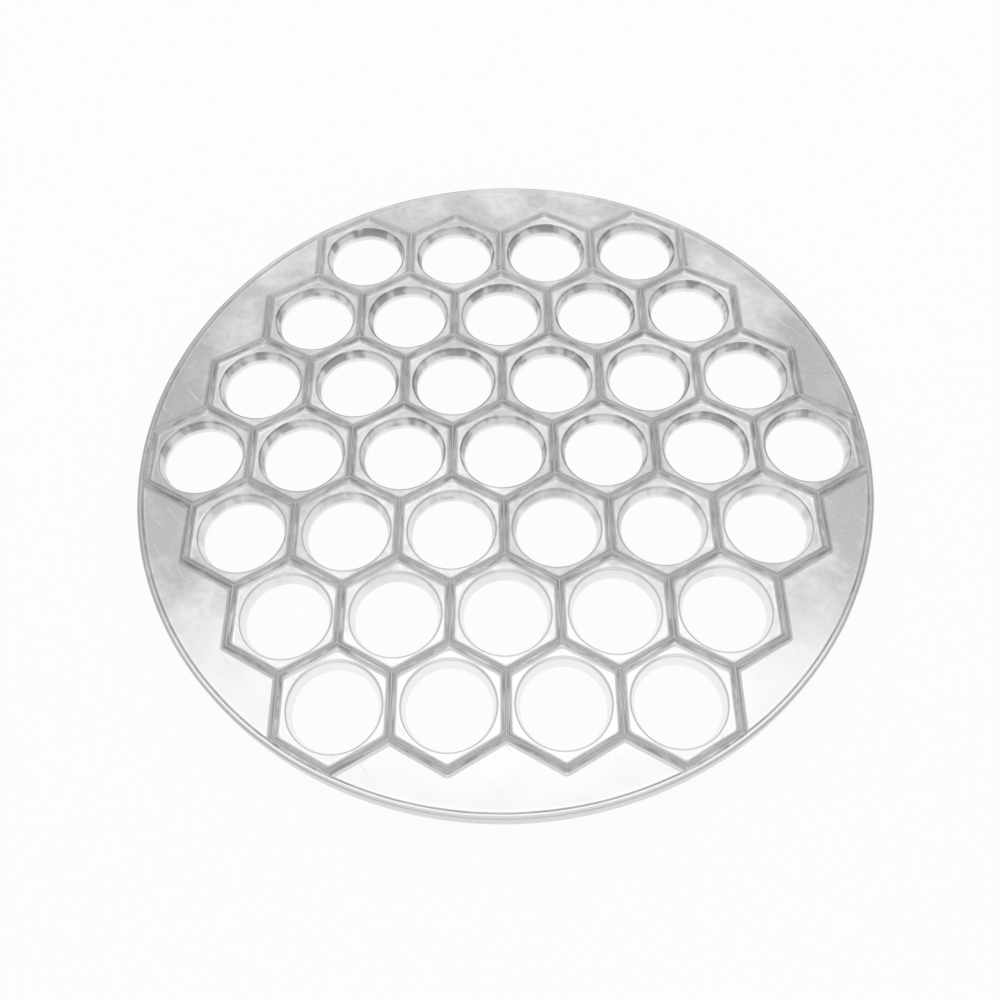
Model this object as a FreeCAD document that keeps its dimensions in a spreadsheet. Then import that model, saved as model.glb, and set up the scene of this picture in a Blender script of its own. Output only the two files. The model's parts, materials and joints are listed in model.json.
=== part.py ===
import FreeCAD, Part
import math
import os
import Sketcher

# A round cast-aluminium dumpling mould, in millimetres, +Z up, with its origin on the ground under
# the middle cell. A honeycomb of hexagonal cells fills the disc: each cell is a stretch of plate with
# a round hole that flares upward, walled in by cutting ribs that it shares with its neighbours. A flat
# border lies outside the honeycomb, and a rim with a low lip closes the disc. The casting is divided
# along the middle planes of its ribs, so every cell, border panel and the rim is a solid of its own.

RINGS = 3             # rings of cells round the middle cell, which makes 37 cells
SIDES = 6             # sides of a cell, and of the honeycomb as a whole
STEP = 360 // SIDES   # degrees from one side to the next
HALF_STEP = STEP // 2

SIZES = [
    ("hole_radius", "12.9", "straight lower part of a hole"),
    ("hole_land", "1.6", "height of that straight part"),
    ("hole_flare", "1.05", "how much wider the cone above it is at the floor, on each side"),
    ("hole_rounding", "1.0", "radius of a hole's rounded upper edge"),
    ("floor_strip", "0.3", "least level floor between a hole's rounded edge and a rib's root"),
    ("plate_thickness", "5.1", "plate under the ribs, which is the depth of a hole"),
    ("rib_height", "1.9", "cell floor to cutting edge"),
    ("rib_base_width", "3.0", "rib at its root, both sides together"),
    ("rib_top_width", "0.8", "flat of a cutting edge, both sides together"),
    ("foot_height", "0.6", "how far the rim stands below the plate"),
    ("edge_margin", "2.65", "metal outside the outermost cell corners"),
    ("corner_bite", "1.45", "how far the outermost cell corners reach into the rim"),
    ("edge_draft", "0.25", "how far the outer wall leans in towards the ground"),
    ("lip_height", "0.8", "lip above the border"),
    ("lip_width", "2.2", "lip at its root"),
    ("lip_slope", "1.0", "sloping inner side of the lip, seen from above"),
    ("lip_rounding", "0.3", "radius of the lip's upper edges"),
]

doc = FreeCAD.newDocument("dumpling_mould")
sheet = doc.addObject("Spreadsheet::Sheet", "Sizes")
for line, (alias, number, meaning) in enumerate(SIZES, start=1):
    sheet.set(f"A{line}", meaning)
    sheet.set(f"B{line}", number)
    sheet.setAlias(f"B{line}", alias)
doc.recompute()

# Lengths and heights that several pieces share, as expressions of the sheet's cells
HOLE_MOUTH = "(Sizes.hole_radius + Sizes.hole_flare)"   # a hole's cone where it meets the floor
FLOOR_REACH = f"({HOLE_MOUTH} + Sizes.hole_rounding + Sizes.floor_strip)"
CELL_PITCH = f"(2 * {FLOOR_REACH} + Sizes.rib_base_width)"   # middle of a cell to the next one's
CELL_REACH = f"({CELL_PITCH} / sqrt(3))"            # middle of a cell to its corner
BASE_MITRE = "(Sizes.rib_base_width / sqrt(3))"     # half a rib's root, along the mitre at a corner
TOP_MITRE = "(Sizes.rib_top_width / sqrt(3))"       # half a cutting edge, along the same mitre
CELL_HEIGHT = "(Sizes.plate_thickness + Sizes.rib_height)"
PLATE_TOP = "(Sizes.foot_height + Sizes.plate_thickness)"
RIB_TOP = f"({PLATE_TOP} + Sizes.rib_height)"
LIP_TOP = f"({PLATE_TOP} + Sizes.lip_height)"
CORNER_CELL = f"({RINGS} * {CELL_PITCH})"           # middle of the disc to a corner cell's middle
CORNER_REACH = f"({CELL_PITCH} * sqrt(({RINGS} + 1 / 2)^2 + 1 / 12))"
RIM_INNER = f"({CORNER_REACH} - Sizes.corner_bite)"
RIM_OUTER = f"({CORNER_REACH} + Sizes.edge_margin)"


def value(expression):
    return float(sheet.evalExpression(expression))


def polar(*terms):
    """A corner's x and y as expressions: the sum of terms of a reach and an angle in degrees."""
    across = " + ".join(f"{reach} * cos({angle})" for reach, angle in terms)
    along = " + ".join(f"{reach} * sin({angle})" for reach, angle in terms)
    return across, along


def hexagon(reach, *middle):
    """The six corners of a cell-shaped outline round a middle given in polar terms."""
    return [polar(*middle, (reach, HALF_STEP + STEP * side)) for side in range(SIDES)]


def origin_part(body, role):
    return next(part for part in body.Origin.OriginFeatures if part.Role == role)


def new_body(label, turn=0):
    body = doc.addObject("PartDesign::Body", label)
    body.Label = label
    body.Placement = FreeCAD.Placement(FreeCAD.Vector(), FreeCAD.Rotation(FreeCAD.Vector(0, 0, 1), turn))
    return body


def new_sketch(body, name, plane="XY_Plane", height=None):
    sketch = body.newObject("Sketcher::SketchObject", f"{body.Label}_{name}")
    sketch.AttachmentSupport = (origin_part(body, plane), [""])
    sketch.MapMode = "FlatFace"
    if height:
        sketch.setExpression("AttachmentOffset.Base.z", height)
    return sketch


def bind(sketch, constraint, expression):
    index = sketch.addConstraint(constraint)
    sketch.setExpression(f"Constraints[{index}]", expression)


def pin_start(sketch, line, corner):
    """Holds a line's start at a corner given as two expressions."""
    for kind, expression in zip(("DistanceX", "DistanceY"), corner):
        bind(sketch, Sketcher.Constraint(kind, -1, 1, line, 1, value(expression)), expression)


def point(corner):
    return FreeCAD.Vector(value(corner[0]), value(corner[1]), 0)


def outline(body, name, corners, plane="XY_Plane", height=None):
    """A sketch of one closed straight-sided outline whose corners follow the sheet."""
    sketch = new_sketch(body, name, plane, height)
    count = len(corners)
    for line in range(count):
        start = point(corners[line])
        end = point(corners[(line + 1) % count])
        sketch.addGeometry(Part.LineSegment(start, end))
    for line in range(count):
        sketch.addConstraint(Sketcher.Constraint("Coincident", line, 2, (line + 1) % count, 1))
        pin_start(sketch, line, corners[line])
    return sketch


def feature(body, kind, name, profile):
    made = body.newObject(f"PartDesign::{kind}", f"{body.Label}_{name}")
    made.Profile = profile
    return made


def pad(body, name, profile, length):
    made = feature(body, "Pad", name, profile)
    made.setExpression("Length", length)
    return made


def loft(body, kind, name, first, last):
    made = feature(body, kind, name, first)
    made.Sections = [last]
    made.Ruled = True
    return made


def turned(body, kind, name, section):
    """A full turn of an upright section round the body's Z axis."""
    made = feature(body, kind, name, section)
    made.ReferenceAxis = (section, ["V_Axis"])
    made.Angle = 360
    return made


def round_circles(body, name, base, height, radius):
    """Rounds every circular edge of a feature that lies at a height, in the body's own frame."""
    doc.recompute()
    level = value(height)
    names = []
    for index, edge in enumerate(base.Shape.Edges, start=1):
        circular = isinstance(edge.Curve, Part.Circle)
        if circular and math.isclose(edge.Curve.Center.z, level, abs_tol=1e-6):
            names.append(f"Edge{index}")
    made = body.newObject("PartDesign::Fillet", f"{body.Label}_{name}")
    made.Base = (base, names)
    made.setExpression("Radius", radius)
    return made


# Cells

def open_sides(column, row):
    """First and last corner angle of a cell's walls that face the border, or None inside, and its turn."""
    ring = max(abs(column), abs(row), abs(column + row))
    if ring < RINGS:
        return None, 0
    bearing = math.degrees(math.atan2(row * math.sqrt(3) / 2, column + row / 2)) % 360
    sector = round(bearing // STEP)
    nearest = round(bearing / STEP)
    if math.isclose(bearing, STEP * nearest, abs_tol=1e-6):
        return (HALF_STEP - 2 * STEP, HALF_STEP + STEP), STEP * nearest
    return (HALF_STEP - STEP, HALF_STEP + STEP), STEP * sector


def outer_half(mitre, first, last):
    """Plan of the outer half of the ribs between two corners of a cell, mitred at both ends."""
    angles = list(range(first, last + 1, STEP))
    inside = [polar((CELL_REACH, angle)) for angle in angles]
    outside = [polar((CELL_REACH, first), (mitre, first + STEP))]
    outside += [polar((CELL_REACH, angle), (mitre, angle)) for angle in angles[1:-1]]
    outside += [polar((CELL_REACH, last), (mitre, last - STEP))]
    return inside + outside[::-1]


def make_cell(label, column, row):
    span, turn = open_sides(column, row)
    body = new_body(label, turn)
    body.setExpression("Placement.Base.x", f"{CELL_PITCH} * ({column} + {row} / 2)")
    body.setExpression("Placement.Base.y", f"{CELL_PITCH} * {row} * sqrt(3) / 2")
    body.setExpression("Placement.Base.z", "Sizes.foot_height")
    pad(body, "block", outline(body, "block_plan", hexagon(CELL_REACH)), CELL_HEIGHT)
    if span:
        root = outline(body, "root_plan", outer_half(BASE_MITRE, *span), height="Sizes.plate_thickness")
        edge = outline(body, "edge_plan", outer_half(TOP_MITRE, *span), height=CELL_HEIGHT)
        loft(body, "AdditiveLoft", "outer_ribs", root, edge)
    mouth = outline(body, "mouth_plan", hexagon(f"({CELL_REACH} - {TOP_MITRE})"), height=CELL_HEIGHT)
    floor = outline(body, "floor_plan", hexagon(f"({CELL_REACH} - {BASE_MITRE})"),
                    height="Sizes.plate_thickness")
    loft(body, "SubtractiveLoft", "recess", mouth, floor)
    section = outline(body, "hole_section", [
        ("0", "0"),
        ("Sizes.hole_radius", "0"),
        ("Sizes.hole_radius", "Sizes.hole_land"),
        (HOLE_MOUTH, "Sizes.plate_thickness"),
        (HOLE_MOUTH, CELL_HEIGHT),
        ("0", CELL_HEIGHT),
    ], plane="XZ_Plane")
    hole = turned(body, "Groove", "hole", section)
    round_circles(body, "hole_edge", hole, "Sizes.plate_thickness", "Sizes.hole_rounding")
    return body


def make_cells():
    cells = []
    for line, row in enumerate(range(RINGS, -RINGS - 1, -1), start=1):
        first = max(-RINGS, -RINGS - row)
        last = min(RINGS, RINGS - row)
        for number, column in enumerate(range(first, last + 1), start=1):
            cells.append(make_cell(f"cell_row{line}_{number}", column, row))
    return cells


# Border panels

def border_corners():
    """Corners of the honeycomb's edge from one corner cell to the next, the ends inside the rim."""
    corners = []
    for place in range(RINGS + 1):
        along = f"({place} * {CELL_PITCH})"
        middle = ((CORNER_CELL, 0), (along, 2 * STEP))
        corners.append(polar(*middle, (CELL_REACH, HALF_STEP)))
        corners.append(polar(*middle, (CELL_REACH, HALF_STEP + STEP)))
    return corners[:-1]


def on_circle(inside, outside, radius):
    """Where the straight line from a point inside a circle to one outside it crosses the circle."""
    run = outside - inside
    half_b = inside.dot(run) / run.dot(run)
    rest = (inside.dot(inside) - radius ** 2) / run.dot(run)
    return inside + run * (math.sqrt(half_b ** 2 - rest) - half_b)


def make_panel(label, turn):
    body = new_body(label, turn)
    body.setExpression("Placement.Base.z", "Sizes.foot_height")
    plan = new_sketch(body, "plan")
    corners = border_corners()
    points = [point(corner) for corner in corners]
    radius = value(RIM_INNER)
    points[0] = on_circle(points[1], points[0], radius)
    points[-1] = on_circle(points[-2], points[-1], radius)
    last = len(points) - 2
    for line in range(last + 1):
        plan.addGeometry(Part.LineSegment(points[line], points[line + 1]))
    start = math.atan2(points[0].y, points[0].x)
    end = math.atan2(points[-1].y, points[-1].x)
    whole = Part.Circle(FreeCAD.Vector(), FreeCAD.Vector(0, 0, 1), radius)
    arc = plan.addGeometry(Part.ArcOfCircle(whole, start, end))
    for line in range(1, last + 1):
        plan.addConstraint(Sketcher.Constraint("Coincident", line - 1, 2, line, 1))
        pin_start(plan, line, corners[line])
    plan.addConstraint(Sketcher.Constraint("Coincident", arc, 3, -1, 1))
    bind(plan, Sketcher.Constraint("Radius", arc, radius), RIM_INNER)
    plan.addConstraint(Sketcher.Constraint("Coincident", arc, 1, 0, 1))
    plan.addConstraint(Sketcher.Constraint("Coincident", arc, 2, last, 2))
    plan.addConstraint(Sketcher.Constraint("Parallel", 0, 2))
    plan.addConstraint(Sketcher.Constraint("Parallel", last, 1))
    pad(body, "plate", plan, "Sizes.plate_thickness")
    return body


# Rim

def make_rim():
    body = new_body("rim")
    lip_root = f"({RIM_OUTER} - Sizes.lip_width)"
    section = outline(body, "section", [
        (RIM_INNER, "0"),
        (f"{RIM_OUTER} - Sizes.edge_draft", "0"),
        (RIM_OUTER, LIP_TOP),
        (f"{lip_root} + Sizes.lip_slope", LIP_TOP),
        (lip_root, PLATE_TOP),
        (RIM_INNER, PLATE_TOP),
    ], plane="XZ_Plane")
    ring = turned(body, "Revolution", "ring", section)
    round_circles(body, "lip_edges", ring, LIP_TOP, "Sizes.lip_rounding")

    # Seats for the six corner cells: their plate from the foot up, and their ribs through the lip
    corner_cell = (CORNER_CELL, 0)
    seat_plan = outline(body, "seat_plan", hexagon(CELL_REACH, corner_cell), height="Sizes.foot_height")
    seat = feature(body, "Pocket", "seat", seat_plan)
    seat.Type = "ThroughAll"
    seat.Reversed = True
    root = outline(body, "root_plan", hexagon(f"({CELL_REACH} + {BASE_MITRE})", corner_cell), height=PLATE_TOP)
    edge = outline(body, "edge_plan", hexagon(f"({CELL_REACH} + {TOP_MITRE})", corner_cell), height=RIB_TOP)
    gap = loft(body, "SubtractiveLoft", "lip_gap", root, edge)
    doc.recompute()
    corners = body.newObject("PartDesign::PolarPattern", "rim_corners")
    corners.Originals = [seat, gap]
    corners.Axis = (origin_part(body, "Z_Axis"), [""])
    corners.Angle = 360
    corners.Occurrences = SIDES
    body.Tip = corners
    return body


def check(nodes):
    for made in doc.Objects:
        if "Invalid" in made.State or "Error" in made.State:
            raise RuntimeError(f"{made.Label} is {made.State}")
    for node in nodes:
        shape = node.Shape
        if shape.isNull() or not shape.isValid():
            raise RuntimeError(f"{node.Label} has no valid shape")
        if len(shape.Solids) != 1:
            raise RuntimeError(f"{node.Label} has {len(shape.Solids)} solids")


nodes = make_cells()
nodes += [make_panel(f"border_panel_{side + 1}", STEP * side) for side in range(SIDES)]
nodes.append(make_rim())
doc.recompute()
check(nodes)

os.makedirs("parts", exist_ok=True)
for node in nodes:
    node.Shape.exportStep(f"parts/{node.Label}.step")
print(f"{len(nodes)} nodes, {sum(node.Shape.Volume for node in nodes):.0f} cubic millimetres")
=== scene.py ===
# %% [markdown]
# # A dumpling mould in cast aluminium
# The mould is one casting: a round plate with 37 holes, a honeycomb of cutting ribs standing on it, a
# flat border outside the honeycomb and a low lip round the edge. A sheet of dough is laid over the
# ribs, filling goes into the hollows, a second sheet covers it, and a rolling pin cuts 37 dumplings.
#
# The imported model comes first. It is the frame of everything below: it gives the sizes, and each
# piece made here stands for one of its nodes, in metres, exactly where that node is.

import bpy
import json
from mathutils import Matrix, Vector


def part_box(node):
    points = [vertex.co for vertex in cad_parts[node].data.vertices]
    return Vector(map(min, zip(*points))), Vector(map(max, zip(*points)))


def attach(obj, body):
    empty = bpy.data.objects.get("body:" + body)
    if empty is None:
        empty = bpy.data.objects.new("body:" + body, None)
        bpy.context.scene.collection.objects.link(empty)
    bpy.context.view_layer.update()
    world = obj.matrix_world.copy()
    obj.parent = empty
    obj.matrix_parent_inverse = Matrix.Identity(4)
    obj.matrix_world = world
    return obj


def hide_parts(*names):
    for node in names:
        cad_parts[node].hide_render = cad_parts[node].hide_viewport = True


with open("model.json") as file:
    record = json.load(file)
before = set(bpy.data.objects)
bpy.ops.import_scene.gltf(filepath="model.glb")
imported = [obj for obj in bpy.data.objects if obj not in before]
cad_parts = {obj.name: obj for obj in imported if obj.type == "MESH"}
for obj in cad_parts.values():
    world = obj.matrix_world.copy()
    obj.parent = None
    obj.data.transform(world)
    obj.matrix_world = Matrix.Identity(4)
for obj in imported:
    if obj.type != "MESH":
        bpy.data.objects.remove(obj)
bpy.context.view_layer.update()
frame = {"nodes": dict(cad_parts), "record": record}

# %% [markdown]
# ## Sizes
# A pattern maker would measure the mould once and work from those few numbers. The pitch of the
# cells, the heights and the radii are read from the frame, so the looks follow the construction when
# it changes. What the boxes of the nodes don't tell, such as the width of a rib or how far an edge is
# rounded, is written here in millimetres.

# %% Read the sizes from the frame
import json
import math

import bmesh
import bpy
import numpy as np
from mathutils import Matrix, Vector, noise

MM = 0.001
cell_low, cell_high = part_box("cell_row4_4")
rim_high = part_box("rim")[1]
border_corners = frame["nodes"]["border_panel_1"].data.vertices

PITCH = cell_high.x - cell_low.x
UNDERSIDE = cell_low.z
RIB_TOP = cell_high.z
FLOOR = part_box("border_panel_1")[1].z
LIP_TOP = rim_high.z
OUTER_RADIUS = rim_high.x
RIM_INNER = max(corner.co.xy.length for corner in border_corners)
bore = frame["record"]["mounts"][0]["dims"]
HOLE_RADIUS = bore["r_mm"] * MM
HOLE_LAND = bore["length_mm"] * MM

HOLE_FLARE = 1.05 * MM      # a hole's cone is this much wider at the floor than at its straight land
LAND_ROUNDING = 2.0 * MM    # where the land runs into the cone
HOLE_ROUNDING = 1.0 * MM    # upper edge of a hole
HOLE_BREAK = 0.3 * MM       # lower edge of a hole
RIB_ROOT = 2.2 * MM         # width of a rib at its root, without the fillets
RIB_EDGE = 0.7 * MM         # width of its cutting edge
ROOT_FILLET = 1.3 * MM      # where a rib runs into the floor
EDGE_ROUNDING = 0.5 * MM    # both sides of the cutting edge
print(f"pitch {PITCH / MM:.2f}, hole radius {HOLE_RADIUS / MM:.2f}, across {2 * OUTER_RADIUS / MM:.1f} mm")

# %% [markdown]
# ## Where the cells are
# The holes sit on a honeycomb of seven rows: 4, 5, 6, 7, 6, 5 and 4. Two slanting axes describe such
# a lattice better than X and Y do: a column number along X and a row number along a line 60 degrees
# from it. A cell belongs to the mould if it is at most three steps from the middle one.

# %% Lay out the lattice
RINGS = 3
SIDES = 6
STEP = 360 / SIDES
ACROSS_A_SIDE = [(1, 0), (0, 1), (-1, 1), (-1, 0), (0, -1), (1, -1)]   # neighbours, anticlockwise from +X


def in_mould(column, row):
    return max(abs(column), abs(row), abs(column + row)) <= RINGS


def bearing(degrees):
    """A unit arrow on the ground, anticlockwise from +X."""
    return np.array([math.cos(math.radians(degrees)), math.sin(math.radians(degrees))])


def middle_of(column, row):
    return PITCH * (column * bearing(0) + row * bearing(STEP))


cells = {}
for line, row in enumerate(range(RINGS, -RINGS - 1, -1), start=1):
    columns = [column for column in range(-RINGS, RINGS + 1) if in_mould(column, row)]
    for number, column in enumerate(columns, start=1):
        cells[f"cell_row{line}_{number}"] = (column, row)
print(len(cells), "cells")

# %% [markdown]
# ## Sections with rounded corners
# A casting has no sharp corner: sand or a steel die always leaves a small radius, and that radius is
# what catches the light. A bevel modifier could round the finished meshes, but it makes uneven faces
# where three ribs meet. Here the sections are drawn with their arcs first, and then carried round.
#
# Two sections serve all the cells. Half a rib rises from the floor to the middle of its cutting edge.
# The wall of a hole has a straight land at the bottom and a slight cone above it, which lets a dumpling
# drop out and the casting leave its die.

# %% Draw sections
ARC_STEPS = 5
FILLET_REACH = 0.68     # a root fillet ends on the floor this share of its radius from the rib's root
MOUTH_REACH = 0.75      # and a hole's rounded edge this share of its radius from the cone


def unit(arrow):
    return arrow / np.linalg.norm(arrow)


def rounded_corner(before, corner, after, radius):
    """Points of the arc that rounds a corner between two straight runs."""
    back = unit(before - corner)
    ahead = unit(after - corner)
    half = math.acos(np.clip(back @ ahead, -1, 1)) / 2
    middle = corner + unit(back + ahead) * radius / math.sin(half)
    first = corner + back * radius / math.tan(half) - middle
    last = corner + ahead * radius / math.tan(half) - middle
    sweep = math.pi - 2 * half
    shares = np.linspace(0, 1, ARC_STEPS + 1)
    return [middle + (math.sin((1 - s) * sweep) * first + math.sin(s * sweep) * last) / math.sin(sweep)
            for s in shares]


def section(corners, radii, longest=1.0 * MM):
    """A run of straight lines with rounded corners, cut into pieces no longer than a given length."""
    corners = [np.array(corner) for corner in corners]
    points = [corners[0]]
    for place, radius in enumerate(radii, start=1):
        points += rounded_corner(*corners[place - 1:place + 2], radius)
    points.append(corners[-1])
    fine = [points[0]]
    for start, end in zip(points, points[1:]):
        pieces = max(1, math.ceil(np.linalg.norm(end - start) / longest))
        fine += [start + (end - start) * piece / pieces for piece in range(1, pieces + 1)]
    return fine


root_end = RIB_ROOT / 2 + FILLET_REACH * ROOT_FILLET
mouth = HOLE_RADIUS + HOLE_FLARE
mouth_end = mouth + MOUTH_REACH * HOLE_ROUNDING
half_rib = section([(root_end, FLOOR), (RIB_ROOT / 2, FLOOR), (RIB_EDGE / 2, RIB_TOP), (0, RIB_TOP)],
                   [ROOT_FILLET, EDGE_ROUNDING])
hole_wall = section([(HOLE_RADIUS + 2 * HOLE_BREAK, UNDERSIDE), (HOLE_RADIUS, UNDERSIDE),
                     (HOLE_RADIUS, UNDERSIDE + HOLE_LAND), (mouth, FLOOR), (mouth_end, FLOOR)],
                    [HOLE_BREAK, LAND_ROUNDING, HOLE_ROUNDING])
print(len(half_rib), "points in half a rib,", len(hole_wall), "in a hole's wall")

# %% [markdown]
# ## From sections to meshes
# Every piece below is a grid: a section in one direction, carried along a path in the other. Such a
# grid closes on itself, so it has an inside and an outside and can be printed or baked. Points that
# fall together are welded, and edges sharper than a set angle stay crisp in the shading.
#
# The surface of a casting is never quite true. A slow ripple of a few hundredths of a millimetre,
# taken from the place in space, moves all pieces alike, so neighbours still meet without a gap. It
# breaks up the reflections as a bump in a material would, and unlike a bump it reaches the outline.
# The foot stays level. This noise comes out differently in every run unless it is given a seed, so
# one is set here.

# %% Make meshes
RIPPLE = 0.07 * MM
RIPPLE_LENGTH = 9 * MM
RIPPLE_SEED = 37
WELD = 0.0002 * MM
CRISP_ANGLE = math.radians(38)
noise.seed_set(RIPPLE_SEED)


def quads(rows, columns, rows_close, columns_close):
    """Faces of a grid whose points are numbered row by row."""
    last_row = rows if rows_close else rows - 1
    last_column = columns if columns_close else columns - 1
    faces = []
    for row in range(last_row):
        for column in range(last_column):
            next_row = (row + 1) % rows
            next_column = (column + 1) % columns
            faces.append((row * columns + column, row * columns + next_column,
                          next_row * columns + next_column, next_row * columns + column))
    return faces


def rippled(point):
    """A point moved by the ripple, which grows from nothing at the ground to all of it at the floor."""
    share = min(1, point[2] / FLOOR)
    return Vector(point) + noise.noise_vector(Vector(point) / RIPPLE_LENGTH) * RIPPLE * share


def make_piece(node, points, faces, finish):
    """One closed mesh that stands for a node of the frame."""
    mesh = bpy.data.meshes.new(node)
    mesh.from_pydata([rippled(point) for point in points], [], faces)
    shaped = bmesh.new()
    shaped.from_mesh(mesh)
    bmesh.ops.remove_doubles(shaped, verts=shaped.verts, dist=WELD)
    bmesh.ops.dissolve_degenerate(shaped, edges=shaped.edges, dist=WELD)
    bmesh.ops.recalc_face_normals(shaped, faces=shaped.faces)
    shaped.to_mesh(mesh)
    shaped.free()
    mesh.shade_smooth()
    mesh.set_sharp_from_angle(angle=CRISP_ANGLE)
    mesh.materials.append(finish)
    piece = bpy.data.objects.new(f"{node}_casting", mesh)
    bpy.context.scene.collection.objects.link(piece)
    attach(piece, "root")
    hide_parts(node)
    return piece


print(f"ripple {RIPPLE / MM:.2f} mm over about {RIPPLE_LENGTH / MM:.0f} mm")

# %% [markdown]
# ## Building blocks of a finish
# A material is a net of nodes, each of them a small sum. The helpers below give those sums plain names:
# ease one value into another, make noise with patches of a chosen size, mix two colours, multiply and
# add. A photo texture would need a flat picture of the real thing, and it fits only one shape. Noise,
# steered by the place on the mould and by the way a face looks, fits a piece of any shape.

# %% Name the building blocks
FACTOR, FIRST_COLOUR, SECOND_COLOUR, MIXED_COLOUR = 0, 6, 7, 2    # sockets of a mix node set to colours
NOISE_ROUGHNESS = 0.55    # how much each finer layer adds to a noise


def add(tree, kind, inputs=None, **settings):
    """A node with its inputs set to values or joined to other nodes' outputs."""
    made = tree.nodes.new(kind)
    for name, value in settings.items():
        setattr(made, name, value)
    for name, value in (inputs or {}).items():
        if isinstance(value, bpy.types.NodeSocket):
            tree.links.new(value, made.inputs[name])
        else:
            made.inputs[name].default_value = value
    return made


def ease(tree, value, low, high, to_low=0.0, to_high=1.0):
    """A smooth change of one value into another between two limits."""
    limits = {"Value": value, "From Min": low, "From Max": high, "To Min": to_low, "To Max": to_high}
    return add(tree, "ShaderNodeMapRange", limits, interpolation_type="SMOOTHSTEP").outputs["Result"]


def blotches(tree, place, size, detail=3, stretch=(1, 1, 1), turn=0):
    """Noise whose patches are about a given size across."""
    turned = add(tree, "ShaderNodeVectorRotate", {"Vector": place, "Angle": turn}, rotation_type="Z_AXIS")
    placed = add(tree, "ShaderNodeMapping", {"Vector": turned.outputs["Vector"], "Scale": stretch})
    inputs = {"Vector": placed.outputs["Vector"], "Scale": 1 / size, "Detail": detail}
    inputs["Roughness"] = NOISE_ROUGHNESS
    return add(tree, "ShaderNodeTexNoise", inputs).outputs["Fac"]


def mix_colours(tree, share, first, second):
    inputs = {FACTOR: share, FIRST_COLOUR: first, SECOND_COLOUR: second}
    return add(tree, "ShaderNodeMix", inputs, data_type="RGBA").outputs[MIXED_COLOUR]


def reckon(tree, operation, first, second=0.0):
    return add(tree, "ShaderNodeMath", {0: first, 1: second}, operation=operation).outputs["Value"]


def times(tree, first, second):
    return reckon(tree, "MULTIPLY", first, second)


def plus(tree, first, second):
    return reckon(tree, "ADD", first, second)


print("helpers for eased values, noise, mixed colours and sums")

# %% [markdown]
# ## Level faces
# The border and the floors of the cells are the brightest metal. They carry cloudy patches, a finer
# mottling, fine scratches from use and a few bright specks at the right.
#
# The clouds, the mottling and a darker tone at the two sides of the border fade out towards the front,
# where the metal stays at its brightest: that is a painted highlight, and the darker sides are painted
# shade. Both are eased from one place on the mould to the next, so that every view shows the same mould.

# %% Colour the level faces
BRIGHT_METAL = (0.90, 0.905, 0.895, 1)
CLOUDED_METAL = (0.62, 0.635, 0.63, 1)
# Bare metal for the scratches, and the paler colour of the painted highlights on ribs and hole walls.
BARE_METAL_AND_HIGHLIGHT = (0.93, 0.93, 0.925, 1)
CLOUD_SIZE = 16 * MM
CLOUD_NOISE = (0.36, 0.66)             # clear metal below the first value, a full cloud above the second
CLOUD_SHARE = 0.65                     # how far a full cloud dulls the metal
CLOUD_ROUGHNESS = 0.06                 # and how much rougher it is
MOTTLE_SIZE = 2.5 * MM                 # the same four for the mottling
MOTTLE_NOISE = (0.35, 0.7)
MOTTLE_SHARE = 0.25
MOTTLE_ROUGHNESS = 0.03
SCRATCH_SIZE = 1.2 * MM
SCRATCH_STRETCH = (0.12, 1.6, 1)       # long one way and narrow the other
SCRATCH_TURN = 0.9                     # radians from +X
SCRATCH_NOISE = (0.66, 0.74)           # from no scratch to a full one
SCRATCH_SHARE = 0.5                    # how far a scratch turns to clean metal
SPECK_SIZE = 1.1 * MM
SPECK_NOISE = (0.74, 0.82)
SPECK_SHARE = 0.7
# Painted highlight: in front of these places, clouds, mottling and side shade give way to bright metal.
FRONT_HIGHLIGHT_FADE = (-85 * MM, -40 * MM)    # along Y: none in front of the first place, all behind the second
# Painted shade: the border turns darker at the two sides.
SIDE_SHADE_REACH = (95 * MM, 107 * MM)       # distance from the middle along X
SIDE_SHADE_SHARE = 0.7                       # how far the metal is dulled there
SPECKS_BEGIN = (85 * MM, 110 * MM)     # along X


def level_faces(tree, place, axes):
    """Colour, unevenness and scratches of the faces that look up."""
    # painted highlight in front, where clouds, mottling and side shade are left out
    behind = ease(tree, axes["Y"], *FRONT_HIGHLIGHT_FADE)
    clouds = times(tree, behind, ease(tree, blotches(tree, place, CLOUD_SIZE, detail=4), *CLOUD_NOISE))
    mottling = times(tree, behind, ease(tree, blotches(tree, place, MOTTLE_SIZE), *MOTTLE_NOISE))
    aside = reckon(tree, "ABSOLUTE", axes["X"])
    # painted shade on the border at the two sides
    side_shade = times(tree, behind, ease(tree, aside, *SIDE_SHADE_REACH, 0, SIDE_SHADE_SHARE))
    patchy = plus(tree, times(tree, clouds, CLOUD_SHARE), times(tree, mottling, MOTTLE_SHARE))
    metal = mix_colours(tree, plus(tree, side_shade, patchy), BRIGHT_METAL, CLOUDED_METAL)
    lines = blotches(tree, place, SCRATCH_SIZE, detail=1, stretch=SCRATCH_STRETCH, turn=SCRATCH_TURN)
    scratch = ease(tree, lines, *SCRATCH_NOISE)
    to_right = ease(tree, axes["X"], *SPECKS_BEGIN, 0, SPECK_SHARE)
    specks = times(tree, to_right, ease(tree, blotches(tree, place, SPECK_SIZE, detail=0), *SPECK_NOISE))
    marks = plus(tree, times(tree, scratch, SCRATCH_SHARE), specks)
    uneven = plus(tree, times(tree, clouds, CLOUD_ROUGHNESS), times(tree, mottling, MOTTLE_ROUGHNESS))
    return mix_colours(tree, marks, metal, BARE_METAL_AND_HIGHLIGHT), uneven, scratch


print("clouds of", round(CLOUD_SIZE / MM), "mm on the level faces")
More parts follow.
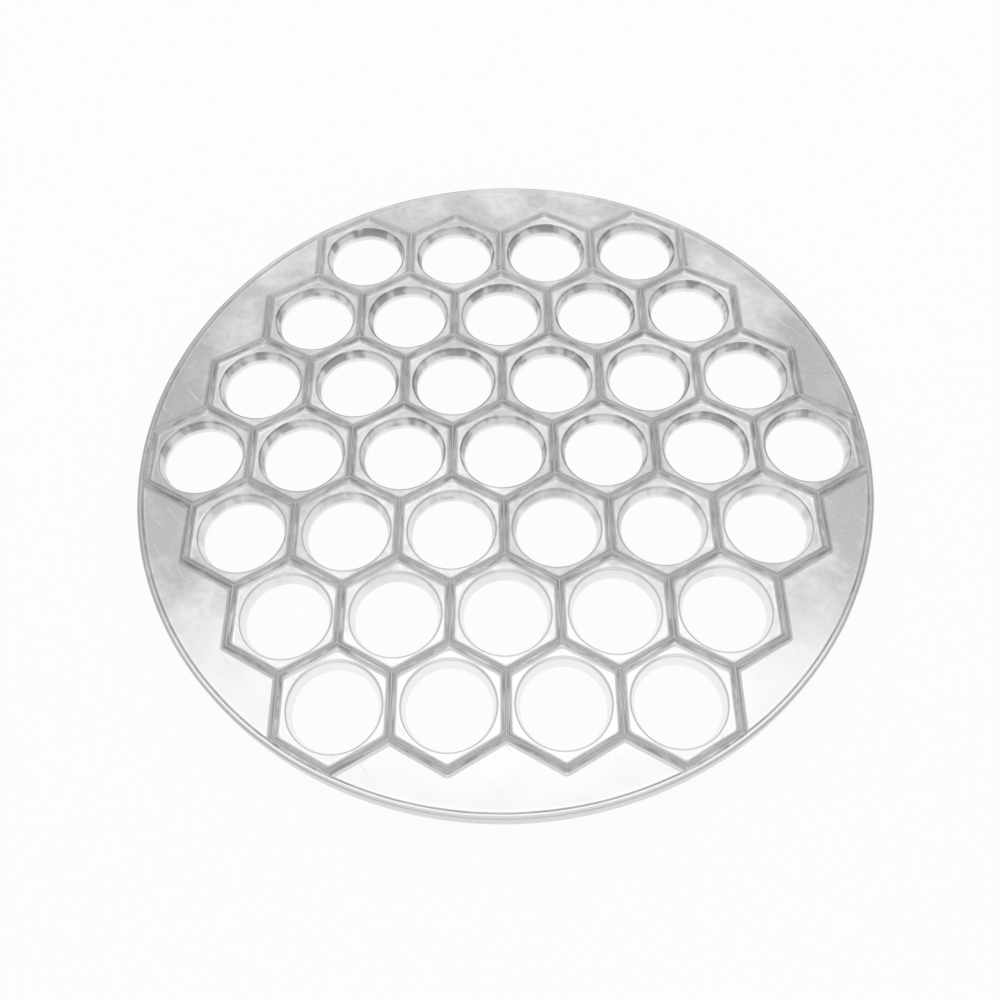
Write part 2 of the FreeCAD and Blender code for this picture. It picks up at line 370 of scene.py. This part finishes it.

# %% [markdown]
# ## Ribs
# The flanks of the ribs keep more of the grey skin of the casting, in upright streaks, and the cutting
# edges are duller than the floor. Towards the rows at the back both turn to paler metal, a painted
# highlight, eased along the mould in the same way as the front highlight of the level faces.

# %% Colour the ribs
FLANK_METAL = (0.84, 0.85, 0.845, 1)
FLANK_SHADE = (0.52, 0.53, 0.525, 1)
EDGE_METAL = (0.54, 0.55, 0.545, 1)
STREAK_SIZE = 6 * MM
STREAK_STRETCH = (1, 1, 3)
STREAK_NOISE = (0.38, 0.66)
EDGE_BEGINS = (0.8 * MM, 1.4 * MM)     # above the floor
# Painted highlight: the ribs turn paler towards the back rows.
BACK_HIGHLIGHT_ROWS = (45 * MM, 100 * MM)        # along Y
BACK_HIGHLIGHT_SHARE = 0.6                       # how far the ribs turn to the paler metal there


def ribs(tree, place, axes, steep, level):
    """The colour of level faces and ribs together."""
    on_rib = ease(tree, axes["Z"], *[FLOOR + height for height in EDGE_BEGINS])
    # painted highlight on the ribs and their edges in the back rows
    back_highlight = ease(tree, axes["Y"], *BACK_HIGHLIGHT_ROWS, 0, BACK_HIGHLIGHT_SHARE)
    edge = mix_colours(tree, back_highlight, EDGE_METAL, BRIGHT_METAL)
    streaks = ease(tree, blotches(tree, place, STREAK_SIZE, stretch=STREAK_STRETCH), *STREAK_NOISE)
    streaked = mix_colours(tree, streaks, FLANK_METAL, FLANK_SHADE)
    flank = mix_colours(tree, back_highlight, streaked, BARE_METAL_AND_HIGHLIGHT)
    return mix_colours(tree, steep, mix_colours(tree, on_rib, level, edge), flank)


print("streaks of", round(STREAK_SIZE / MM), "mm on the ribs")

# %% [markdown]
# ## Hole walls and the outer edge
# The walls of the holes are blotched. Their straight lands are paler, a painted reflection of the white
# table below, and whole walls turn pale towards the front, a painted highlight, so the blotches stay
# darkest in the rows at the back. The outer edge of the rim, where it curves down, is a plain duller grey.

# %% Colour the hole walls and the outer edge
CASTING_SKIN = (0.72, 0.73, 0.72, 1)
DARK_SKIN = (0.36, 0.37, 0.36, 1)
RIM_METAL = (0.70, 0.71, 0.705, 1)
SKIN_SIZE = 7 * MM
SKIN_STRETCH = (1, 1, 0.5)
SKIN_NOISE = (0.42, 0.62)
# Painted highlight: the hole walls turn pale towards the front.
WALL_HIGHLIGHT_FRONT = (25 * MM, -70 * MM)      # along Y, from blotched to clean
# Painted reflection of the table: the lands turn paler below these heights, by the share after them.
LAND_ENDS = (0.8, 1.6)                 # heights above the underside, in heights of the land
LAND_REFLECTION_SHARE = 0.8                       # how far a land turns to clean metal
EDGE_REACH = (1.0 * MM, 0.6 * MM)      # in from the outermost radius
EDGE_FACES = (0.85, 0.99)              # the upward part of a face's direction, from curved to level


def hole_walls(tree, place, axes):
    patches = ease(tree, blotches(tree, place, SKIN_SIZE, stretch=SKIN_STRETCH), *SKIN_NOISE)
    skin = mix_colours(tree, patches, CASTING_SKIN, DARK_SKIN)
    # painted highlight on the hole walls in front
    front_highlight = ease(tree, axes["Y"], *WALL_HIGHLIGHT_FRONT)
    # painted reflection of the white table on the straight lands
    land_reflection = ease(tree, axes["Z"], *[UNDERSIDE + share * HOLE_LAND for share in LAND_ENDS], LAND_REFLECTION_SHARE, 0)
    return mix_colours(tree, reckon(tree, "MAXIMUM", front_highlight, land_reflection), skin, BARE_METAL_AND_HIGHLIGHT)


def outer_edge(tree, place, upward):
    """How far a place is on the curve at the outside of the rim, from 0 to 1."""
    flat = add(tree, "ShaderNodeVectorMath", {0: place, 1: (1, 1, 0)}, operation="MULTIPLY")
    reach = add(tree, "ShaderNodeVectorMath", {0: flat.outputs["Vector"]}, operation="LENGTH")
    on_rim = ease(tree, reach.outputs["Value"], *[OUTER_RADIUS - depth for depth in EDGE_REACH])
    return times(tree, on_rim, ease(tree, upward, *EDGE_FACES, 1, 0))


print("patches of", round(SKIN_SIZE / MM), "mm on the hole walls")

# %% [markdown]
# ## The finish
# One material joins them all. It asks two things first of every place: how far the face there looks up,
# and how high it lies. What is steep and above the floor is a rib, and the inner side of the lip goes
# with the ribs. What is steep and below the floor is a hole's wall, and the underside, which the
# photograph doesn't show, goes with the pale lands and their painted reflection. Roughness follows the
# clouds and scratches, and a fine grain gives the satin look of a casting.

# %% Mix the finish
STEEP_FACES = (0.55, 0.85)       # the upward part of a face's direction, from steep to level
HOLE_FACES = (0.88, 0.99)        # the same for the rounded edge of a hole, which belongs to its wall
FLOOR_BLUR = 0.1 * MM
LEVEL_ROUGHNESS = 0.30
STEEP_ROUGHNESS = 0.34
SCRATCH_ROUGHNESS = 0.10
GRAIN_SIZE = 0.35 * MM
GRAIN_DEPTH = 0.5                # in depths of the relief
SCRATCH_DEPTH = 0.4
RELIEF = 0.03 * MM
RELIEF_STRENGTH = 0.06


def cast_aluminium():
    material = bpy.data.materials.new("cast_aluminium_finish")
    material.use_nodes = True
    tree = material.node_tree
    shader = tree.nodes["Principled BSDF"]
    shader.inputs["Metallic"].default_value = 1
    place = add(tree, "ShaderNodeTexCoord").outputs["Object"]
    axes = add(tree, "ShaderNodeSeparateXYZ", {"Vector": place}).outputs
    facing = add(tree, "ShaderNodeNewGeometry").outputs["Normal"]
    upward = add(tree, "ShaderNodeSeparateXYZ", {"Vector": facing}).outputs["Z"]
    steep = ease(tree, upward, *STEEP_FACES, 1, 0)

    level, uneven, scratch = level_faces(tree, place, axes)
    above = ribs(tree, place, axes, steep, level)
    below_floor = ease(tree, axes["Z"], FLOOR, FLOOR + FLOOR_BLUR, 1, 0)
    in_hole = times(tree, ease(tree, upward, *HOLE_FACES, 1, 0), below_floor)
    cast = mix_colours(tree, in_hole, above, hole_walls(tree, place, axes))
    colour = mix_colours(tree, outer_edge(tree, place, upward), cast, RIM_METAL)
    tree.links.new(colour, shader.inputs["Base Color"])

    rough = plus(tree, uneven, ease(tree, steep, 0, 1, LEVEL_ROUGHNESS, STEEP_ROUGHNESS))
    tree.links.new(plus(tree, rough, times(tree, scratch, SCRATCH_ROUGHNESS)), shader.inputs["Roughness"])

    grain = blotches(tree, place, GRAIN_SIZE, detail=2)
    relief = plus(tree, times(tree, grain, GRAIN_DEPTH), times(tree, scratch, -SCRATCH_DEPTH))
    bump = add(tree, "ShaderNodeBump", {"Height": relief, "Strength": RELIEF_STRENGTH, "Distance": RELIEF})
    tree.links.new(bump.outputs["Normal"], shader.inputs["Normal"])
    return material


casting_finish = cast_aluminium()
print(len(casting_finish.node_tree.nodes), "nodes in", casting_finish.name)

# %% [markdown]
# ## Stations round a cell
# A cell is round inside and six-sided outside. A grid can follow both if its points lie on the same
# rays from the middle: each ray is a station. The stations are closer together near the corners,
# where the outline turns, and lie alike on both halves of a side. So the points on a shared side are
# the same ones for the two cells that meet there.

# %% Set out the stations
HALF_SIDE_STEPS = 10
SIDE_STEPS = 2 * HALF_SIDE_STEPS
STATIONS = SIDES * SIDE_STEPS
HALF_SIDE = PITCH / 2 / math.sqrt(3)


def along_side(step):
    """Distance from the middle of a side to one of its stations, with steps from minus to plus."""
    return HALF_SIDE * math.sin(math.pi / 2 * step / HALF_SIDE_STEPS)


side_leans = [math.atan2(along_side(step), PITCH / 2) for step in range(-HALF_SIDE_STEPS, HALF_SIDE_STEPS)]
leans = np.tile(side_leans, SIDES)
angles = leans + np.repeat(np.radians(STEP * np.arange(SIDES)), SIDE_STEPS)


def hexagon(reach, corner=0.0):
    """Distance from the middle to a six-sided outline at every station, its corners rounded."""
    lean = np.abs(leans)
    corner_middle = 2 * (reach - corner) / math.sqrt(3)
    turn = math.radians(STEP / 2) - lean
    bulge = np.sqrt(np.maximum(corner ** 2 - (corner_middle * np.sin(turn)) ** 2, 0))
    on_side = reach * np.tan(lean) <= (reach - corner) / math.sqrt(3)
    return np.where(on_side, reach / np.cos(lean), corner_middle * np.cos(turn) + bulge)


def ring(reach, height):
    """A ring of points round a cell's middle."""
    flat = np.column_stack([np.cos(angles), np.sin(angles)]) * np.reshape(reach * np.ones(STATIONS), (-1, 1))
    return np.column_stack([flat, np.full(STATIONS, height)])


corner_gap = HALF_SIDE - along_side(HALF_SIDE_STEPS - 1)
print(STATIONS, "stations, nearest corner spacing", round(corner_gap / MM, 2))

# %% [markdown]
# ## A cell
# Seen in section, a cell goes from the underside up the wall of its hole, over the rounded edge,
# across a strip of floor and up a rib to the middle of the cutting edge. There it meets the next cell,
# so the rest of its outline is a plain wall inside the metal. The inner corners of the hexagon grow
# rounder with depth, as a round cutter would leave them in the pattern.

# %% Shape a cell
CORNER_GROWTH = 1.6            # radius of an inner corner for each unit of depth in from the seam
FLOOR_SHARES = (1 / 3, 2 / 3)  # where rings lie across the strip of floor
SILL = FLOOR - 0.02 * MM       # the outer ribs reach this far into the border


def cell_rings():
    seam = hexagon(PITCH / 2)
    rings = [ring(seam, UNDERSIDE)]
    rings += [ring(reach, height) for reach, height in hole_wall]
    hole_edge = hole_wall[-1][0]
    rib_foot = hexagon(PITCH / 2 - half_rib[0][0], CORNER_GROWTH * half_rib[0][0])
    rings += [ring(hole_edge + (rib_foot - hole_edge) * share, FLOOR) for share in FLOOR_SHARES]
    rings += [ring(hexagon(PITCH / 2 - out, CORNER_GROWTH * out), height) for out, height in half_rib[:-1]]
    rings += [ring(seam, RIB_TOP), ring(seam, SILL)]
    return rings


rings = cell_rings()
top_ring = len(rings) - 2
print(len(rings), "rings of", STATIONS, "points")

# %% [markdown]
# ## Ribs that face the border
# Where a cell has no neighbour, it carries the outer half of its ribs too. The section of half a rib
# is carried along the open sides: it turns round outward corners in a fan, and at both ends it leans
# into a mitre, where the next cell's rib takes over. The foot of the rib sinks a hair into the border,
# so that the two surfaces run into each other without a step.

# %% Carry a rib along the open sides
FAN_STEPS = 6
MITRE_REACH = 4 * MM
FOOT_SPREAD = 0.12 * MM
outer_rib = half_rib[::-1][1:] + [np.array([half_rib[0][0] + FOOT_SPREAD, SILL])]


def open_sides(column, row):
    """The sides of a cell that face the border, in order anticlockwise."""
    is_open = [not in_mould(column + right, row + up) for right, up in ACROSS_A_SIDE]
    if not any(is_open):
        return []
    first = next(side for side in range(SIDES) if is_open[side] and not is_open[side - 1])
    return [(first + turn) % SIDES for turn in range(sum(is_open))]


def rib_path(sides):
    """Stations along the open sides, each with the arrow along which a rib grows there."""
    path = []
    for side in sides:
        outward = bearing(STEP * side)
        onward = bearing(STEP * side + 90)
        for step in range(-HALF_SIDE_STEPS, HALF_SIDE_STEPS + 1):
            from_start = HALF_SIDE + along_side(step)
            from_end = HALF_SIDE - along_side(step)
            slip = 0
            if side == sides[0]:
                slip += max(0, 1 - from_start / MITRE_REACH)
            if side == sides[-1]:
                slip -= max(0, 1 - from_end / MITRE_REACH)
            station = side * SIDE_STEPS + HALF_SIDE_STEPS + step
            path.append((station % STATIONS, outward + onward * slip / math.sqrt(3)))
        if side != sides[-1]:
            fan = [bearing(STEP * (side + turn / FAN_STEPS)) for turn in range(1, FAN_STEPS)]
            path += [(((side + 1) * SIDE_STEPS) % STATIONS, arrow) for arrow in fan]
    return path


def outer_ribs(sides):
    """Points and faces of the outer half of a cell's ribs."""
    path = rib_path(sides)
    points = []
    for station, arrow in path:
        start = rings[top_ring][station]
        points.append(start)
        points += [[*(start[:2] + arrow * out), height] for out, height in outer_rib]
        points.append(rings[top_ring + 1][station])
    width = len(outer_rib) + 2
    faces = quads(len(path), width, False, False)
    ends = [list(range(width)), list(range(len(points) - width, len(points)))]
    return points, faces + ends


print(len(outer_rib), "points in the outer half of a rib")

# %% [markdown]
# ## All the cells
# The 37 cells share one set of rings, so a loop makes them: each is moved to its place on the lattice
# and gets outer ribs on the sides that face the border. Linked copies of one mesh would be smaller, but
# then the ripple of the casting would repeat in every cell.

# %% Make the cells


def make_cell(node, column, row):
    sides = open_sides(column, row)
    points = [point for one_ring in rings for point in one_ring]
    faces = quads(len(rings), STATIONS, True, True)
    if sides:
        open_stations = [side * SIDE_STEPS + step for side in sides for step in range(SIDE_STEPS)]
        seam_wall = {top_ring * STATIONS + station for station in open_stations}
        faces = [face for face in faces if face[0] not in seam_wall]
        more_points, more_faces = outer_ribs(sides)
        faces += [tuple(corner + len(points) for corner in face) for face in more_faces]
        points += more_points
    middle = np.append(middle_of(column, row), 0)
    return make_piece(node, [np.array(point) + middle for point in points], faces, casting_finish)


cell_pieces = [make_cell(node, column, row) for node, (column, row) in cells.items()]
print(len(cell_pieces), "cells,", sum(len(piece.data.polygons) for piece in cell_pieces), "faces")

# %% [markdown]
# ## The border
# Between the honeycomb and the rim lie six flat crescents. Each is carried along the zigzag of the
# outermost cell walls: at every step it runs straight out to the inside of the rim. A single flat face
# would do for the shape, but then the ripple of the casting would stop at the last rib.

# %% Make the border panels
ZIGZAG_STEPS = 10
ACROSS_STEPS = 10


def zigzag():
    """Corners of the honeycomb's edge between two corner cells, ended on the inside of the rim."""
    corners = []
    for place in range(RINGS + 1):
        middle = PITCH * (RINGS * bearing(0) + place * bearing(2 * STEP))
        corners += [middle + PITCH / math.sqrt(3) * bearing(turn) for turn in (STEP / 2, 3 * STEP / 2)]
    corners = corners[:-1]
    for end, inside in ((0, 1), (-1, -2)):
        run = corners[end] - corners[inside]
        half = corners[inside] @ run / (run @ run)
        rest = (corners[inside] @ corners[inside] - RIM_INNER ** 2) / (run @ run)
        corners[end] = corners[inside] + run * (math.sqrt(half ** 2 - rest) - half)
    return corners


def make_panel(number):
    corners = zigzag()
    path = [corners[0]]
    for start, end in zip(corners, corners[1:]):
        path += [start + (end - start) * step / ZIGZAG_STEPS for step in range(1, ZIGZAG_STEPS + 1)]
    shares = np.linspace(0, 1, ACROSS_STEPS + 1)
    turn = np.array([bearing(STEP * number), bearing(STEP * number + 90)])
    points = []
    for near in path:
        far = unit(near) * RIM_INNER
        line = [(near + (far - near) * share) @ turn for share in shares]
        points += [[*place, FLOOR] for place in line]
        points += [[*place, UNDERSIDE] for place in line[::-1]]
    faces = quads(len(path), 2 * len(shares), False, True)
    return make_piece(f"border_panel_{number + 1}", points, faces, casting_finish)


panel_pieces = [make_panel(number) for number in range(SIDES)]
print(len(panel_pieces), "panels,", sum(len(piece.data.polygons) for piece in panel_pieces), "faces")

# %% [markdown]
# ## The rim
# The rim is a ring, so its section is turned round the middle as on a lathe. Blender's screw modifier
# would do that too, but a grid made here takes the same ripple as its neighbours. The low lip keeps a
# steep inner side and a well rounded outer one, which draws the thin bright line along the edge. The
# ring stands a little below the plate, so the mould rests on its foot and the holes stay clear of the
# table. The photograph doesn't show the underside, so the foot is a guess.

# %% Turn the rim
TURN_STEPS = 720
RIM_PIECE_LENGTH = 1.5 * MM
FOOT_ROUNDING = 0.5 * MM
EDGE_DRAFT = 0.25 * MM      # the outer wall leans in by this much towards the ground
LIP_WIDTH = 2.2 * MM
LIP_SLOPE = 0.7 * MM        # its inner side, seen from above
LIP_ROUNDING = 0.9 * MM     # its outer edge
LIP_BREAK = 0.2 * MM        # its inner edge
LIP_FILLET = 0.5 * MM       # where it meets the border


def make_rim():
    lip_root = OUTER_RADIUS - LIP_WIDTH
    outline = section([(RIM_INNER, 0), (OUTER_RADIUS - EDGE_DRAFT, 0), (OUTER_RADIUS, LIP_TOP),
                       (lip_root + LIP_SLOPE, LIP_TOP), (lip_root, FLOOR), (RIM_INNER, FLOOR)],
                      [FOOT_ROUNDING, LIP_ROUNDING, LIP_BREAK, LIP_FILLET], longest=RIM_PIECE_LENGTH)
    points = []
    for step in range(TURN_STEPS):
        arrow = bearing(360 * step / TURN_STEPS)
        points += [[*(arrow * out), height] for out, height in outline]
    faces = quads(TURN_STEPS, len(outline), True, True)
    return make_piece("rim", points, faces, casting_finish)


rim_piece = make_rim()
print("rim:", len(rim_piece.data.polygons), "faces")

# %% [markdown]
# ## The table
# The mould lies on a plain white table. To the eye and in reflections most of its white is a glow, so
# that it reads as white paper does in a studio. The rest is lit as any surface is, which keeps the
# soft shadow under the rim and in the holes.

# %% Lay the table
TABLE_SIZE = 8.0
TABLE_DROP = 0.05 * MM     # below the foot, so that the two faces don't coincide
TABLE_WHITE = (0.95, 0.95, 0.95, 1)
GLOW_SHARE = 0.93          # of the table's white


def white_table():
    material = bpy.data.materials.new("white_table")
    material.use_nodes = True
    tree = material.node_tree
    tree.nodes.remove(tree.nodes["Principled BSDF"])
    rays = add(tree, "ShaderNodeLightPath").outputs
    seen = plus(tree, plus(tree, rays["Is Camera Ray"], rays["Is Glossy Ray"]), rays["Is Transmission Ray"])
    share = add(tree, "ShaderNodeMath", {0: seen, 1: GLOW_SHARE}, operation="MULTIPLY", use_clamp=True)
    lit = add(tree, "ShaderNodeBsdfDiffuse", {"Color": TABLE_WHITE}).outputs[0]
    glow = add(tree, "ShaderNodeEmission", {"Color": (1, 1, 1, 1), "Strength": 1}).outputs[0]
    both = add(tree, "ShaderNodeMixShader", {0: share.outputs["Value"], 1: lit, 2: glow})
    tree.links.new(both.outputs[0], tree.nodes["Material Output"].inputs["Surface"])
    return material


table_mesh = bpy.data.meshes.new("table")
half_table = TABLE_SIZE / 2
table_turns = [(-1, -1), (1, -1), (1, 1), (-1, 1)]
table_corners = [(half_table * right, half_table * back, -TABLE_DROP) for right, back in table_turns]
table_mesh.from_pydata(table_corners, [], [(0, 1, 2, 3)])
table_mesh.materials.append(white_table())
table = bpy.data.objects.new("table", table_mesh)
bpy.context.scene.collection.objects.link(table)
print("table", TABLE_SIZE, "m across")

# %% [markdown]
# ## The room
# Bare metal shows its surroundings more than its own colour, so the studio is part of the look. The
# room is grey, which draws the ribs. A pale screen stands behind the mould, and a wider patch of light
# lies on the wall behind the viewer. Lamps could light such patches, but the world's brightness as a
# function of direction does it without noise.

# %% Light the room
ROOM_COLOUR = (1, 1, 0.99, 1)
ROOM_HORIZON = 0.54        # brightness at the height of the table
ROOM_ABOVE = 0.58          # and higher up
ROOM_RISE = (0, 0.7)       # upward part of a direction, from the one to the other
PATCH_HEIGHT = 47          # degrees above the horizon, for the middle of both patches
SCREEN_GLOW = 0.36
SCREEN_EDGE = (22, 11)     # degrees from its middle where the screen ends and where it is full
FRONT_GLOW = 0.30
FRONT_EDGE = (42, 18)      # the same for the patch behind the viewer

world = bpy.data.worlds.new("studio")
bpy.context.scene.world = world
world.use_nodes = True
room = world.node_tree
direction = add(room, "ShaderNodeTexCoord").outputs["Generated"]
upward_part = add(room, "ShaderNodeSeparateXYZ", {"Vector": direction}).outputs["Z"]


def lit_patch(forward, edge, glow):
    """A soft round patch on the wall: forward is 1 behind the mould and -1 behind the viewer."""
    height = math.radians(PATCH_HEIGHT)
    middle = (0, forward * math.cos(height), math.sin(height))
    nearness = add(room, "ShaderNodeVectorMath", {0: direction, 1: middle}, operation="DOT_PRODUCT")
    limits = [math.cos(math.radians(angle)) for angle in edge]
    return ease(room, nearness.outputs["Value"], *limits, 0, glow)


walls = ease(room, upward_part, *ROOM_RISE, ROOM_HORIZON, ROOM_ABOVE)
patches = plus(room, lit_patch(1, SCREEN_EDGE, SCREEN_GLOW), lit_patch(-1, FRONT_EDGE, FRONT_GLOW))
background = room.nodes["Background"].inputs
background["Color"].default_value = ROOM_COLOUR
room.links.new(plus(room, walls, patches), background["Strength"])
print(len(room.nodes), "nodes in the room")

# %% [markdown]
# ## The soft box
# An oval soft box hangs overhead, a little behind the mould, where the level faces of the front rows
# mirror it. It is a lamp, because it also casts the soft shadow. A wide and dim one is better here than
# a small and bright one: pale metal then comes close to white without losing its detail.

# %% Hang the soft box
BOX_WIDTH = 1.36
BOX_DEPTH = 0.66
BOX_HEIGHT = 1.20
BOX_BACK = 0.36
BOX_BRIGHTNESS = 0.65

soft_box = bpy.data.lights.new("soft_box", "AREA")
soft_box.shape = "ELLIPSE"
soft_box.size = BOX_WIDTH
soft_box.size_y = BOX_DEPTH
box_area = math.pi / 4 * BOX_WIDTH * BOX_DEPTH
soft_box.energy = BOX_BRIGHTNESS * math.pi * box_area
lamp = bpy.data.objects.new("soft_box", soft_box)
lamp.location = (0, BOX_BACK, BOX_HEIGHT)
lamp.visible_camera = False
bpy.context.scene.collection.objects.link(lamp)
print(f"soft box {soft_box.energy:.2f} W")

# %% [markdown]
# ## The camera
# The photograph was taken from the front at about 60 degrees above the table, with a slight turn and
# roll. The lens is given as a focal length in pixels of a picture 1000 pixels wide, which is how a
# camera is matched to a picture, and turned into millimetres for a sensor 36 mm wide.

# %% Set the camera
CAMERA_PLACE = Vector((0.00339, -0.18671, RIB_TOP + 0.29126))
CAMERA_YAW = math.radians(1.57)
CAMERA_RISE = math.radians(60.20)
CAMERA_ROLL = math.radians(-2.42)
FOCAL_PIXELS = 1048
PICTURE_PIXELS = 1000
SENSOR_MM = 36
NEAREST_SEEN = 0.01

camera = bpy.data.cameras.new("camera")
camera.sensor_width = SENSOR_MM
camera.lens = SENSOR_MM * FOCAL_PIXELS / PICTURE_PIXELS
camera.clip_start = NEAREST_SEEN
eye = bpy.data.objects.new("camera", camera)
aim = Matrix.Rotation(CAMERA_YAW, 4, "Z") @ Matrix.Rotation(math.pi / 2 - CAMERA_RISE, 4, "X")
eye.matrix_world = Matrix.Translation(CAMERA_PLACE) @ aim @ Matrix.Rotation(CAMERA_ROLL, 4, "Z")
bpy.context.scene.collection.objects.link(eye)
bpy.context.scene.camera = eye
bpy.context.scene.view_settings.view_transform = "Standard"
print(f"lens {camera.lens:.2f} mm")

# %% [markdown]
# ## Size and finish
# The looks must not change the size of the part.

# %% Update the scene
bpy.context.view_layer.update()
